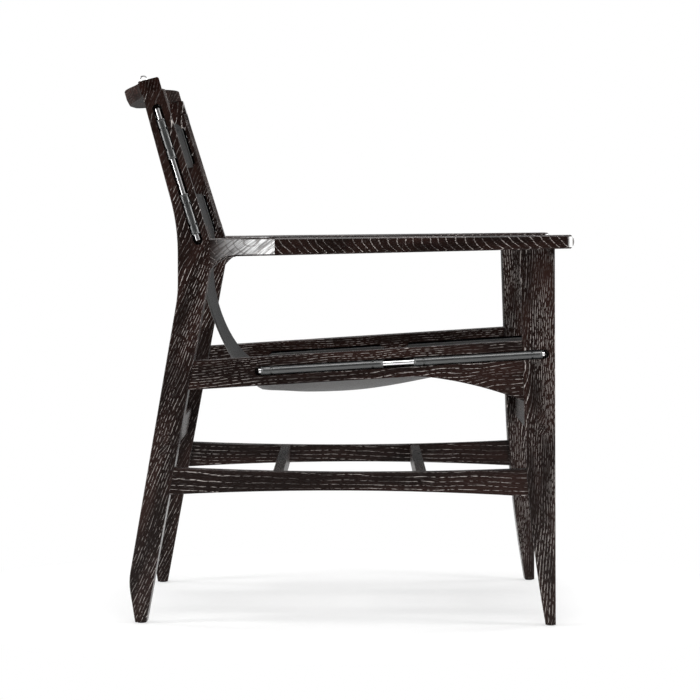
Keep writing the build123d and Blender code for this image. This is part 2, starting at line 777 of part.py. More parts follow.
with BuildPart() as crest_rail:
    crest_stations = 20
    crest_reach = crest_end_x + loop_inset
    for step in range(crest_stations + 1):
        across = crest_reach * (2 * step / crest_stations - 1)
        with BuildSketch(Plane.YZ.offset(across)):
            with BuildLine():
                Polyline(*crest_section(across), close=True)
            make_face()
    loft(ruled=True)
    split(bisect_by=right_face, keep=Keep.BOTTOM)
    split(bisect_by=left_face, keep=Keep.BOTTOM)
    add(crest_stub.part, mode=Mode.SUBTRACT)
    mirror(crest_stub.part, about=Plane.YZ, mode=Mode.SUBTRACT)
    add(crest_loop_right.part, mode=Mode.SUBTRACT)
    add(crest_loop_left.part, mode=Mode.SUBTRACT)

# Steel rods with bevelled ends, and what grips them
def rod_plane(start, axis):
    """Plane along a rod: x on its axis, y across it in the side frame."""
    origin = in_frame(*start, rod_depth)
    rod_end = in_frame(*along(start, axis, rod_diameter), rod_depth)
    return Plane(origin=origin, x_dir=rod_end - origin, z_dir=outward_dir)


def rod(start, axis, length, radius):
    plane = rod_plane(start, axis)
    with BuildPart() as piece:
        with BuildSketch(Plane(origin=plane.origin, z_dir=plane.x_dir)):
            Circle(radius)
        extrude(amount=length)
        chamfer(piece.edges().filter_by(GeomType.CIRCLE), rod_end_bevel)
    return piece


rod_places = ((back_rod_start, back_axis, back_rod_length), (seat_rod_start, seat_axis, seat_rod_length))
back_rod_right, seat_rod_right = [rod(*place, rod_diameter / 2) for place in rod_places]
bores = [rod(*place, rod_diameter / 2 + fit_gap) for place in rod_places]


def sleeve(start, axis, first, last):
    """Leather rolled round a rod, with a lip at each end."""
    plane = rod_plane(start, axis)
    lip = sleeve_lip_diameter / 2
    skin = sleeve_diameter / 2
    with BuildPart() as piece:
        with BuildSketch(plane):
            with BuildLine():
                Polyline(
                    (first, 0),
                    (first, lip),
                    (first + sleeve_lip_length, lip),
                    (first + sleeve_lip_length, skin),
                    (last - sleeve_lip_length, skin),
                    (last - sleeve_lip_length, lip),
                    (last, lip),
                    (last, 0),
                    close=True,
                )
            make_face()
        revolve(axis=Axis(plane.origin, plane.x_dir))
    return piece


rod_sleeves = [
    (start, axis, first, last)
    for start, axis, places in (
        (back_rod_start, back_axis, back_sleeve_places),
        (seat_rod_start, seat_axis, seat_sleeve_places),
    )
    for first, last in zip(places[0::2], places[1::2])
]
sleeves = [sleeve(*place) for place in rod_sleeves]

with BuildPart() as edge_leather:
    for piece in sleeves:
        add(piece.part)
    for start, axis, first, last in rod_sleeves:
        frame_block(
            *along(start, axis, (first + last) / 2),
            last - first,
            tab_thickness,
            rod_depth,
            post_thickness + tab_lap,
            degrees(atan2(axis[1], axis[0])),
        )


# The sheet, lofted through thin curved sections
def rod_station(start, axis, distance, dish):
    """Middle of a section, its normal towards the sitter, half-width and dish, where rods hold it."""
    forward, height = along(start, axis, distance)
    edge = in_frame(forward, height, post_thickness + sheet_side_gap)
    normal = (axis[1], axis[0])
    return (edge.Y - normal[0] * dish, edge.Z - normal[1] * dish, *normal, -edge.X, dish)


back_top = back_sleeve_places[0] - sheet_overhang
back_run = back_sleeve_places[-1] + sheet_overhang - back_top
back_stations = [
    rod_station(back_rod_start, back_axis, back_top + share * back_run, dish_share * back_dish)
    for share, dish_share in back_stations_shares
]
seat_stations = [
    rod_station(seat_rod_start, seat_axis, share * seat_rod_length, dish_share * seat_dish)
    for share, dish_share in seat_stations_shares
]
waist_start = back_stations[-1]
waist_middles = [
    (
        waist_start[0] + (heel_back - waist_start[0]) * forward_share,
        waist_start[1] + (heel_height - waist_start[1]) * down_share,
    )
    for forward_share, down_share, _, _ in waist_stations_shares
]
chain = [waist_start[:2]] + waist_middles + [seat_stations[0][:2]]
waist_stations = []
for before, middle, after, shares in zip(chain, chain[1:], chain[2:], waist_stations_shares):
    run = (after[0] - before[0], after[1] - before[1])
    normal = (run[1] / hypot(*run), -run[0] / hypot(*run))
    half_width = -in_frame(-middle[0], middle[1], post_thickness + sheet_side_gap).X * shares[2]
    waist_stations.append((*middle, *normal, half_width, seat_dish * shares[3]))


def eased_between(rows):
    """The rows, with more of them set smoothly between each two."""
    chain = [rows[0]] + rows + [rows[-1]]
    eased = []
    for before, first, last, after in zip(chain, chain[1:], chain[2:], chain[3:]):
        for step in range(steps_between):
            t = step / steps_between
            eased.append([
                start + (end - start) * (3 - 2 * t) * t**2 + (end - far_start) / 2 * t * (1 - t) ** 2
                - (far_end - start) / 2 * (1 - t) * t**2
                for far_start, start, end, far_end in zip(before, first, last, after)
            ])
    return eased


sheet_stations = back_stations[:-1]
sheet_stations += eased_between([back_stations[-1]] + waist_stations + [seat_stations[0]])
sheet_stations += seat_stations


def notch(start, axis, first, last):
    """What is cut from the sheet's edge between two tabs."""
    middle = along(start, axis, (first + last) / 2)
    origin = in_frame(*middle, post_thickness)
    rod_run = in_frame(*along(middle, axis, rod_diameter), post_thickness) - origin
    length = last - first - 2 * notch_set_in
    with BuildPart() as piece:
        with BuildSketch(Plane(origin=origin, x_dir=-outward_dir, z_dir=(-outward_dir).cross(rod_run))):
            RectangleRounded(2 * (sheet_side_gap + notch_depth), length, notch_round_share * length)
        extrude(amount=seat_dish, both=True)
    return piece


notches = [
    notch(back_rod_start, back_axis, back_sleeve_places[1], back_sleeve_places[2]),
    notch(seat_rod_start, seat_axis, seat_sleeve_places[1], seat_sleeve_places[2]),
]

with BuildPart() as sling:
    for y, z, normal_y, normal_z, half_width, dish in sheet_stations:
        station = Plane(origin=(0, y, z), x_dir=(1, 0, 0), z_dir=(0, -normal_z, normal_y))
        low = -leather_thickness / 2
        high = leather_thickness / 2
        with BuildSketch(station):
            with BuildLine():
                ThreePointArc((-half_width, dish + low), (0, low), (half_width, dish + low))
                Line((half_width, dish + low), (half_width, dish + high))
                ThreePointArc((half_width, dish + high), (0, high), (-half_width, dish + high))
                Line((-half_width, dish + high), (-half_width, dish + low))
            make_face()
    loft(ruled=True)
    for piece in notches:
        add(piece.part, mode=Mode.SUBTRACT)
        mirror(piece.part, about=Plane.YZ, mode=Mode.SUBTRACT)
    add(edge_leather.part)
    mirror(edge_leather.part, about=Plane.YZ)
    for piece in bores:
        add(piece.part, mode=Mode.SUBTRACT)
        mirror(piece.part, about=Plane.YZ, mode=Mode.SUBTRACT)

# Glides under the feet
rear_glide_forward = -post_toe_back - post_foot_length / 2
front_glide_forward = (leg_foot_rear + leg_foot_front) / 2
glides = {}
glide_places = {"glide_rear_right": rear_glide_forward, "glide_front_right": front_glide_forward}
for name, forward in glide_places.items():
    centre = in_frame(forward, 0, post_thickness / 2)
    with BuildPart() as glides[name]:
        with BuildSketch(Plane(origin=centre)):
            Circle(glide_diameter / 2)
        extrude(amount=glide_height)

pieces = {
    "rear_post_right": rear_post_right,
    "front_leg_right": front_leg_right,
    "seat_rail_right": seat_rail_right,
    "stretcher_right": stretcher_right,
    "arm_right": arm_right,
    "back_rod_right": back_rod_right,
    "seat_rod_right": seat_rod_right,
    "crest_loop_right": crest_loop_right,
    **glides,
}
pieces.update({name.replace("right", "left"): mirrored(piece) for name, piece in list(pieces.items())})
pieces.update({
    "crest_rail": crest_rail,
    "rear_cross_rail": rear_cross_rail,
    "front_cross_rail": front_cross_rail,
    "sling": sling,
    **bars,
})

os.makedirs("parts", exist_ok=True)
for name, piece in pieces.items():
    piece.part.label = name
    export_step(piece.part, f"parts/{name}.step")
    print(name, round(piece.part.volume), piece.part.is_valid, len(piece.part.solids()))
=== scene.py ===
# %% [markdown]
# # A sling leather easy chair
# Two splayed side frames of limed dark oak stand at the sides of the chair. Rails, bars and a bowed crest
# rail join them, and one sheet of black leather hangs between them from four steel rods. The wood and
# steel come from the CAD frame with their shapes as they are, and get their finish here. The leather is
# made anew, because a lofted solid can't show how leather hangs, folds and is sewn.

# %% The fixed frame
from math import atan, cos, pi, radians, sin

import bpy
import numpy as np
from mathutils import Matrix, Vector
from mathutils.geometry import delaunay_2d_cdt


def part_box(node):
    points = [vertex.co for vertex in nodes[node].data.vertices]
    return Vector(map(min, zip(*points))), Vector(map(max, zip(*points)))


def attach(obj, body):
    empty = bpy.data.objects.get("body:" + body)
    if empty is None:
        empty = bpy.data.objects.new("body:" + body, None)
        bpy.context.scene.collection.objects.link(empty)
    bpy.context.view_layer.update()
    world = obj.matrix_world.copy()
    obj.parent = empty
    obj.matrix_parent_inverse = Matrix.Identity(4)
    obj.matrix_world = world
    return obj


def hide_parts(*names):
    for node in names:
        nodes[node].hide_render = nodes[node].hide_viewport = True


def rounded(values, digits=4):
    return [round(value, digits) for value in values]


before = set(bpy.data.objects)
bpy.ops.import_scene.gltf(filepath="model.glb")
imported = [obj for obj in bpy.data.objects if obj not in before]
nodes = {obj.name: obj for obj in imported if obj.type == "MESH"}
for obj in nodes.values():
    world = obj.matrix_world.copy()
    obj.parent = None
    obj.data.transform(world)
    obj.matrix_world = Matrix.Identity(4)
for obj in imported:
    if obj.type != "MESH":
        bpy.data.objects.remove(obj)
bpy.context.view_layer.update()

# %% [markdown]
# ## Where the rods run
# Everything soft follows the four steel rods, so their lines come first. They could be typed in, but the
# frame already holds the rods, and a long thin mesh has one clear longest direction. A singular value
# decomposition finds it. The start is the upper end of a back rod and the rear end of a seat rod. Only
# the two rods on the right are measured, because the left side mirrors them.

# %% Rod lines
mm = 0.001
mostly = 0.5                 # the part of a direction of length 1 that settles which way it points


def rod_line(name):
    """Start and direction of a rod, and its length."""
    points = np.array([vertex.co for vertex in nodes[name].data.vertices])
    direction = Vector(np.linalg.svd(points - points.mean(0), full_matrices=False)[2][0])
    points_up_or_back = direction.z > mostly or direction.y > mostly
    if points_up_or_back:
        direction = -direction
    middle = Vector((points.max(0) + points.min(0)) / 2)
    reach = (points - np.array(middle)) @ np.array(direction)
    length = reach.max() - reach.min()
    return middle - direction * length / 2, direction, length


rods = {name: rod_line(name) for name in ("back_rod_right", "seat_rod_right")}
for name, (start, direction, length) in rods.items():
    print(name, "from", rounded(start), "towards", rounded(direction, 3), "length", round(length, 4))

# %% [markdown]
# ## The side frames' planes
# Each side frame is a flat slice that stands upright but is splayed in plan, wider at the front. Its two
# rods lie in it, so the cross product of their directions is square to it.

# %% Plane of the right side frame
post_thickness = 30 * mm
rod_depth = 5.6 * mm         # from the outer face of a board to the middle line of its rod
sheet_side_gap = 3 * mm      # from the inner face of a board to the sheet's edge
slit_end = post_thickness - rod_depth
sheet_edge_in = slit_end + sheet_side_gap
outward = rods["seat_rod_right"][1].cross(rods["back_rod_right"][1]).normalized()
if outward.x > 0:
    outward = -outward
print("right frame faces", rounded(outward))


def flipped(vector):
    """The same place or direction on the left side."""
    return Vector((-vector.x, vector.y, vector.z))


# %% [markdown]
# ## Shader sums written as sums
# A procedural material is mostly arithmetic on values that change over the surface. Chains of Math nodes
# are hard to read, so this class wraps a socket and turns Python's own signs into Math nodes. Every other
# node comes from one method, which sets the node up first and then fills its sockets.

# %% A wire of a shader
class Wire:
    """An output socket. Sums of wires and numbers add Math nodes."""

    def __init__(self, tree, socket):
        self.tree = tree
        self.socket = socket

    @classmethod
    def add(cls, tree, kind, settings=None, sockets=None, out=0):
        """A new node, set up and with its sockets filled, as the wire that leaves it."""
        node = tree.nodes.new("ShaderNode" + kind)
        for name, value in (settings or {}).items():
            setattr(node, name, value)
        for name, value in (sockets or {}).items():
            if isinstance(value, Wire):
                tree.links.new(value.socket, node.inputs[name])
            else:
                node.inputs[name].default_value = value
        return cls(tree, node.outputs[out])

    def maths(self, operation, *values):
        return Wire.add(self.tree, "Math", {"operation": operation}, dict(enumerate(values)))

    def __add__(self, other):
        return self.maths("ADD", self, other)

    def __radd__(self, other):
        return self.maths("ADD", other, self)

    def __sub__(self, other):
        return self.maths("SUBTRACT", self, other)

    def __rsub__(self, other):
        return self.maths("SUBTRACT", other, self)

    def __mul__(self, other):
        return self.maths("MULTIPLY", self, other)

    def __truediv__(self, other):
        return self.maths("DIVIDE", self, other)

    def __gt__(self, other):
        return self.maths("GREATER_THAN", self, other)

    def __lt__(self, other):
        return self.maths("LESS_THAN", self, other)

    def __abs__(self):
        return self.maths("ABSOLUTE", self)

    def fraction(self):
        return self.maths("FRACT", self)

    def at_most(self, limit):
        return self.maths("MINIMUM", self, limit)

    def or_more(self, other):
        """The larger of two wires."""
        return self.maths("MAXIMUM", self, other)

    def between(self, low, high):
        """0 below low, 1 above high, and a smooth step between."""
        settings = {"interpolation_type": "SMOOTHSTEP"}
        return Wire.add(self.tree, "MapRange", settings, {"Value": self, "From Min": low, "From Max": high})


# %% Places and directions in a shader
def object_place(tree):
    """Where on the piece the shader is, in metres."""
    return Wire.add(tree, "TexCoord", out="Object")


def combined(tree, x, y, z):
    return Wire.add(tree, "CombineXYZ", sockets={"X": x, "Y": y, "Z": z})


def along_axis(tree, place, axis):
    """How far a place lies along a fixed direction."""
    sockets = {0: place, 1: axis}
    return Wire.add(tree, "VectorMath", {"operation": "DOT_PRODUCT"}, sockets, out="Value")


def distance_of(tree, place):
    """How far a place lies from the origin."""
    return Wire.add(tree, "VectorMath", {"operation": "LENGTH"}, {0: place}, out="Value")


# %% Noise, mixed colours and materials
# A Mix node has sockets for numbers and vectors before those for colours.
first_colour, second_colour, mixed_colour = 6, 7, 2


def noise(tree, place, scale, detail=2.0, roughness=0.5):
    sockets = {"Vector": place, "Scale": scale, "Detail": detail, "Roughness": roughness}
    return Wire.add(tree, "TexNoise", sockets=sockets, out="Fac")


def mixed(tree, share, first, second):
    """Two colours mixed by a share."""
    sockets = {"Factor": share, first_colour: first, second_colour: second}
    return Wire.add(tree, "Mix", {"data_type": "RGBA"}, sockets, out=mixed_colour)


def bumped(tree, height, distance, strength):
    return Wire.add(tree, "Bump", sockets={"Height": height, "Distance": distance, "Strength": strength})


def new_material(name):
    material = bpy.data.materials.new(name)
    material.use_nodes = True
    tree = material.node_tree
    return material, tree, tree.nodes["Principled BSDF"]


def plug(tree, wire, shader, name):
    tree.links.new(wire.socket, shader.inputs[name])


print("shader sums ready")

# %% [markdown]
# ## Limed oak
# The wood is oak stained almost black, with pale lime wax rubbed into its open pores. Oak's pores sit in
# the early part of each year's ring, so where a board cuts the rings they draw lines, sweeps and arches.
# An image would need the boards unwrapped. Here the tree itself is made: rings round a pith that runs
# beside each board, wandering a little, and pores as noise stretched along the grain. Then every board
# is cut from its own place in the tree, and its faces and ends agree.

# %% Rings of the tree
ring_drift = 45 * mm         # the band in which a ring strays in and out from a true circle
ring_ripple = 0.5            # a finer wavering of the rings, in years
early_wood = (0.78, 0.95)    # from the middle of a ring at 0 to its border at 1
slow_waves = (4, 11)         # waves in a metre, along the grain and across it
quick_waves = (28, 55)


def stretched(tree, axes, waves, detail=2.0):
    """Noise that changes slowly along the grain and quickly across it."""
    run, across, depth = axes
    place = combined(tree, run * waves[0], across * waves[1], depth * waves[1])
    return noise(tree, place, 1.0, detail)


def early_part(tree, axes, pith, ring_width, wander):
    """1 in the porous early wood of each ring, and 0 in its dense late wood."""
    _, across, depth = axes
    drift = stretched(tree, axes, slow_waves) - 0.5
    ripple = stretched(tree, axes, quick_waves, 1.0) - 0.5
    radius = distance_of(tree, combined(tree, 0.0, across - pith[1], depth + pith[0]))
    year = (radius + drift * (ring_drift * wander)) / ring_width + ripple * ring_ripple
    return abs(year.fraction() * 2 - 1).between(*early_wood)


# %% [markdown]
# ## Painted highlight on slanting faces
# The wood is polished, and where it is cut at a slant to its fibres it mirrors the lamps: in the hollow
# behind each arm, round the arm's nose, and on the long bevels of the posts. A pale grey painted highlight
# stands in for that, thinly at first and more where these run out. A painted mask could place it, but how
# the surface slants says nearly all of it. Squarely cut ends get almost none, and in the hollow the painted
# highlight is broken by streaks.

# %% Painted highlight
# A pale grey painted on as a highlight, where the polished wood mirrors the lamps
painted_highlight_grey = (0.88, 0.88, 0.88, 1)
slanting_cut = (0.04, 0.46)          # how far a face looks along the board, where 1 is a square end
square_cut = (0.60, 0.85)
level_face = (0.15, 0.40)            # how far a face looks up or down
hollow_reach = (-290 * mm, -190 * mm)    # along an arm from its middle, where minus is behind
hollow_end = -205 * mm
streaks_across = 240                 # the streaks in the painted highlight in a metre, and how they lean
streaks_along = 14
streak_lean = 1.3
streak_levels = (0.34, 0.62)
# How much painted highlight stays between streaks, and how much is lost on early wood and on square ends
highlight_between_streaks = 0.25
highlight_lost_on_early = 0.6
highlight_lost_on_square = 0.96
bevel_facing = (0.93, 0.98)
# Painted highlight on a post's bevel, and more of it where the bevel runs out
bevel_highlight = 0.25
run_out_highlight = 0.5
run_out_start = (0.28, 0.38)         # metres from the board's middle
run_out_end = (0.395, 0.41)


def painted_highlight_share(tree, place, normal, slant, length, early, end_grain, end_lime_and_highlight, edge):
    """How much painted highlight lies on slanting ends, in the hollow of an arm and on a bevelled edge."""
    along = along_axis(tree, place, length)
    height = along_axis(tree, place, (0, 0, 1))
    hollow = along.between(*hollow_reach) * (along < hollow_end) * end_lime_and_highlight
    square_end = abs(slant).between(*square_cut)
    upright = 1 - abs(along_axis(tree, normal, (0, 0, 1))).between(*level_face)
    across_streaks = (along - height * streak_lean) * streaks_across
    streaks = noise(tree, combined(tree, across_streaks, (along + height) * streaks_along, 0.0), 1.0)
    nose = along > 0.0
    # The painted highlight is broken by streaks but whole on the nose, and is weaker on early wood and on
    # square ends.
    streaked = streaks.between(*streak_levels) * (1 - highlight_between_streaks) + highlight_between_streaks
    highlight_share = end_grain.or_more(hollow) * upright * streaked.or_more(nose)
    highlight_share = highlight_share * (1 - early * highlight_lost_on_early) * (1 - square_end * highlight_lost_on_square)
    if edge:
        bevelled = along_axis(tree, normal, edge).between(*bevel_facing)
        run_out = along.between(*run_out_start) * (1 - along.between(*run_out_end))
        highlight_share = highlight_share + bevelled * (bevel_highlight + run_out * run_out_highlight)
    return highlight_share.at_most(1.0)


# %% Oak for one board
stain_dark = (0.0070, 0.0032, 0.0023, 1)
stain_brown = (0.0200, 0.0088, 0.0067, 1)
lime_white = (0.50, 0.455, 0.43, 1)
tone_waves = (6, 30)
tone_levels = (0.38, 0.72)
kept_waves = (9, 30)
kept_levels = (0.36, 0.60)           # the noise at which wax starts to stay in the pores, and all stays
lime_in_late = 0.10                  # shares of lime in late wood and in rubbed patches
lime_in_rubbed = 0.12
lime_in_speckles = 6
pore_width = 0.75 * mm
pore_length = 8 * mm
pore_depth = 0.25 * mm
pore_opening = (0.655, 0.725)        # the noise at which a pore starts to open, and is open
early_opens = 0.19                   # how much sooner it opens in early wood, and on end grain
end_opens = 0.10
wood_roughness = 0.24
pore_roughness = 0.40                # added in an open pore


def oak(
    name, length, tilt, face, pith, ring_width,
    wander=1.0, speckle=0.0, end_lime_and_highlight=0.0, lime=1.0, gloss=0.15, edge=None,
):
    """Stained oak for the board of this name.

    Length is the board's long direction, and face the one that its broad face looks in. Tilt says how
    far the grain leaves the length, along the board's width and out of its face. The pith lies below
    the board's middle and beside it by two distances. Wander is how crooked the rings are, speckle how
    many pores open outside the early wood, and gloss how much light the bare surface mirrors. Lime
    is the share of wax kept in the pores. The share for ends opens more pores on slanting ends and sets
    how much painted highlight lies there and in an arm's hollow. Edge, where it is given, is the direction
    that a bevel with a painted highlight looks in.
    """
    material, tree, shader = new_material("oak_" + name)
    length = Vector(length).normalized()
    width = Vector(face).cross(length).normalized()
    grain = (length + width * tilt[0] + Vector(face) * tilt[1]).normalized()
    side = Vector(face).cross(grain).normalized()
    face = grain.cross(side).normalized()
    middle = sum((Vector(corner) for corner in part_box(name)), Vector()) / 2
    place = Wire.add(tree, "VectorMath", {"operation": "SUBTRACT"}, {0: object_place(tree), 1: middle})
    axes = [along_axis(tree, place, axis) for axis in (grain, side, face)]
    run, across, depth = axes
    early = early_part(tree, axes, pith, ring_width, wander)
    fine = combined(tree, run / pore_length, across / pore_width, depth / pore_width)
    pores = noise(tree, fine, 1.0, 1.0, 0.4)
    normal = Wire.add(tree, "NewGeometry", out="Normal")
    slant = along_axis(tree, normal, length)
    end_grain = abs(slant).between(*slanting_cut) * end_lime_and_highlight
    open_pores = (pores + early * early_opens + end_grain * end_opens + speckle).between(*pore_opening)
    kept = stretched(tree, axes, kept_waves).between(*kept_levels)
    pore_lime = lime_in_late + early * (1 - lime_in_late) + speckle * lime_in_speckles
    pore_lime = pore_lime * (lime_in_rubbed + kept * (1 - lime_in_rubbed))
    limed = (open_pores * pore_lime * lime).at_most(1.0)
    warm = stretched(tree, axes, tone_waves).between(*tone_levels)
    face_colour = mixed(tree, limed, mixed(tree, warm, stain_dark, stain_brown), lime_white)
    # A pale grey painted highlight on slanting faces, where the polished wood mirrors the lamps
    highlight_share = painted_highlight_share(tree, place, normal, slant, length, early, end_grain, end_lime_and_highlight, edge)
    plug(tree, mixed(tree, highlight_share, face_colour, painted_highlight_grey), shader, "Base Color")
    plug(tree, wood_roughness + open_pores * pore_roughness + pores * 0.06, shader, "Roughness")
    plug(tree, bumped(tree, 1 - open_pores * 0.8, pore_depth, 0.6), shader, "Normal")
    shader.inputs["Specular IOR Level"].default_value = gloss
    return material


# %% Boards of the side frames
upward = Vector((0, 0, 1))
forward = upward.cross(outward)
post_bevel_faces = (0.67, -0.71, 0.21)       # the direction that the right post's bevel looks in, which gets a painted highlight
# Long direction, tilt, pith, width of a year's ring, wander and speckle.
boards = {
    "rear_post": (upward, (-0.42, 0.05), (0.080, 0.160), 4.6 * mm, 0.9, 0.004),
    "front_leg": (upward, (-0.03, 0.06), (0.030, 0.050), 3.4 * mm, 1.1, 0.028),
    "seat_rail": (forward, (0.05, 0.05), (0.090, -0.100), 3.4 * mm, 0.8, 0.0),
    "stretcher": (forward, (0.0, 0.01), (0.120, 0.060), 3.4 * mm, 0.3, 0.0),
    "arm": (forward, (0.0, 0.22), (0.100, 0.030), 3.0 * mm, 0.3, 0.0),
}
for name, (length, tilt, pith, ring_width, wander, speckle) in boards.items():
    for side, turn in (("right", 1), ("left", -1)):
        board = f"{name}_{side}"
        turned_length = (length.x * turn, length.y, length.z)
        turned_face = (outward.x * turn, outward.y, outward.z)
        turned_tilt = (tilt[0] * turn, tilt[1])
        turned_pith = (pith[0], pith[1] * turn)
        turned_edge = (post_bevel_faces[0] * turn, *post_bevel_faces[1:])
        # Arms get more open pores and a painted highlight on their slanting ends, and rear posts one on
        # their bevels
        finish = oak(
            board, turned_length, turned_tilt, turned_face, turned_pith, ring_width, wander, speckle,
            end_lime_and_highlight=1.0 if name == "arm" else 0.0,
            lime=0.85 if name in ("arm", "stretcher") else 1.0,
            edge=turned_edge if name == "rear_post" else None,
        )
        nodes[board].material_slots[0].material = finish
print("boards of the side frames:", 2 * len(boards))

# %% Rails and bars across the chair
# Pith, share of lime and gloss.
crosswise = {
    "crest_rail": ((0.035, 0.020), 0.20, 0.01),
    "rear_cross_rail": ((0.04, 0.038), 0.8, 0.20),
    "front_cross_rail": ((0.05, 0.040), 0.8, 0.20),
    "stretcher_bar_rear": ((0.06, 0.020), 0.6, 0.16),
    "stretcher_bar_front": ((0.07, 0.022), 0.6, 0.16),
}
for name, (pith, lime, gloss) in crosswise.items():
    finish = oak(
        name, length=(1, 0, 0), tilt=(0.01, 0.03), face=(0, -1, 0), pith=pith, ring_width=4.0 * mm,
        wander=0.8, speckle=0.006, lime=lime, gloss=gloss,
    )
    nodes[name].material_slots[0].material = finish
print("boards across:", len(crosswise))

# %% [markdown]
# ## Polished steel and glides
# The rods and the small loops on the crest rail are polished steel. A mirror looks wrong on drawn bar,
# which keeps faint marks of the polishing, so a low roughness varies slightly. The glides are plain dark
# nylon with a moulded grain.

# %% Steel
steel_shades = (0.72, 0.72, 0.73, 1), (0.86, 0.86, 0.86, 1)


def steel():
    material, tree, shader = new_material("polished_steel_bar")
    place = object_place(tree)
    wear = noise(tree, place, 220, 3.0)
    clouds = noise(tree, place, 24)
    plug(tree, mixed(tree, clouds.between(0.3, 0.7), *steel_shades), shader, "Base Color")
    plug(tree, 0.12 + wear * 0.10, shader, "Roughness")
    plug(tree, bumped(tree, wear, 0.004 * mm, 0.3), shader, "Normal")
    shader.inputs["Metallic"].default_value = 1.0
    return material


# %% Nylon
nylon_shades = (0.012, 0.012, 0.013, 1), (0.03, 0.03, 0.03, 1)


def nylon():
    material, tree, shader = new_material("glide_nylon")
    grain = noise(tree, object_place(tree), 900)
    plug(tree, mixed(tree, grain, *nylon_shades), shader, "Base Color")
    plug(tree, 0.5 + grain * 0.2, shader, "Roughness")
    plug(tree, bumped(tree, grain, 0.1 * mm, 0.5), shader, "Normal")
    return material


steel_finish = steel()
nylon_finish = nylon()
for name, node in nodes.items():
    if "rod" in name or "loop" in name:
        node.material_slots[0].material = steel_finish
    if "glide" in name:
        node.material_slots[0].material = nylon_finish
print("steel and nylon set")

# %% [markdown]
# ## Black leather
# The sheet is thick bridle leather with a close grain and a waxed, half-dull face towards the sitter. Its
# other side is flesh, which is paler and cloudy. Grain leather is a net of small cells with shallow
# creases between them, which a Voronoi texture draws, and its wax wears thinner in cloudy patches. The
# sleeves round the rods are the same leather, rubbed shinier.

# %% Leather finish
sitter_direction = (0, -0.6, 0.8)
flesh_border = (-0.15, 0.15)
crease_width = 0.16          # as a share of a cell
crease_black = (0.006, 0.006, 0.006, 1)
crease_stain = 0.5
crease_relief = 0.6          # the share of the relief that creases have, while specks have the rest
cloud_share = 0.7            # the share of the wear that clouds have
cloud_levels = (0.3, 0.75)
cloud_roughness = 0.16


def leather(
    name, shades, roughness,
    cell=1.1 * mm, specular=0.5, grain_depth=0.18 * mm, flesh=None,
):
    """Leather between two shades, with grain of a cell's size and a depth.

    Flesh is the pair of shades of its other side, where that shows.
    """
    material, tree, shader = new_material(name)
    place = object_place(tree)
    settings = {"feature": "DISTANCE_TO_EDGE"}
    cells = Wire.add(tree, "TexVoronoi", settings, {"Vector": place, "Scale": 1 / cell}, out="Distance")
    creases = cells.between(0.0, crease_width)
    clouds = noise(tree, place, 16, 3.0, 0.6)
    specks = noise(tree, place, 900)
    worn = clouds.between(*cloud_levels) * cloud_share + specks * (1 - cloud_share)
    tone = mixed(tree, worn, *shades)
    if flesh:
        normal = Wire.add(tree, "NewGeometry", out="Normal")
        grain_side = along_axis(tree, normal, sitter_direction).between(*flesh_border)
        tone = mixed(tree, grain_side, mixed(tree, worn, *flesh), tone)
    relief = creases * crease_relief + specks * (1 - crease_relief)
    plug(tree, mixed(tree, (1 - creases) * crease_stain, tone, crease_black), shader, "Base Color")
    plug(tree, roughness + clouds * cloud_roughness - creases * 0.05, shader, "Roughness")
    plug(tree, bumped(tree, relief, grain_depth, 0.8), shader, "Normal")
    shader.inputs["Specular IOR Level"].default_value = specular
    return material


# %% Sheet, sleeves and thread
grain_shades = (0.009, 0.009, 0.009, 1), (0.021, 0.021, 0.021, 1)
flesh_shades = (0.050, 0.050, 0.048, 1), (0.105, 0.102, 0.097, 1)
sleeve_shades = (0.012, 0.013, 0.013, 1), (0.034, 0.036, 0.035, 1)
thread_shades = (0.016, 0.016, 0.016, 1), (0.035, 0.035, 0.035, 1)
sheet_finish = leather("leather_sheet", grain_shades, 0.42, specular=0.30, flesh=flesh_shades)
sleeve_finish = leather("leather_sleeve", sleeve_shades, 0.20, 0.8 * mm, 1.0, 0.03 * mm)
thread_finish = leather("waxed_thread", thread_shades, 0.45, 0.5 * mm)
print("leather finishes made")

# %% [markdown]
# ## The sheet's line through the chair
# Seen from the side, the sheet comes down the back rods, swoops under the sitter and runs out along the
# seat rods. At each station along it the section across the chair is a shallow arc, held up at the edges
# and hanging in the middle. The stations are few and listed, and a smooth curve fills the rest.

# %% Stations
# Where the sleeves of a back rod and of a seat rod start and end, as shares of the rod's length.
back_sleeve_shares = (0.0887, 0.3838, 0.6486, 0.9459)
seat_sleeve_shares = (0.0121, 0.4359, 0.5430, 0.9888)
sheet_overhang = 4 * mm      # how far the sheet runs past the outer tabs of the back
back_dish = 26 * mm          # how deep the middle hangs below the edges, at most
seat_dish = 54 * mm
heel = Vector((0, 139 * mm, 364.5 * mm))     # the low point behind the seat that the waist runs to
# The way down the back rod, and the share of the dish there.
back_stations_shares = ((0.0, 1.0), (0.5, 0.88), (1.0, 0.7))
# The way from the back to the heel, level and down, then the shares of the clear width and of the
# seat's dish.
waist_stations_shares = (
    (0.07, 0.11, 0.86, 0.20),
    (0.135, 0.22, 0.70, 0.08),
    (0.210, 0.36, 0.58, 0.02),
    (0.320, 0.52, 0.51, 0.01),
    (0.478, 0.68, 0.55, 0.02),
    (0.665, 0.82, 0.69, 0.08),
    (0.835, 0.925, 0.84, 0.32),
    (0.95, 0.98, 0.93, 0.60),
)
# The way forward along the seat rod, and the share of the dish there.
seat_stations_shares = (
    (0.0, 0.82), (0.07, 0.885), (0.15, 0.96), (0.26, 1.0), (0.36, 0.99),
    (0.47, 0.91), (0.60, 0.76), (0.73, 0.585), (0.86, 0.42), (1.0, 0.30),
)
splay_slope = outward.y / -outward.x


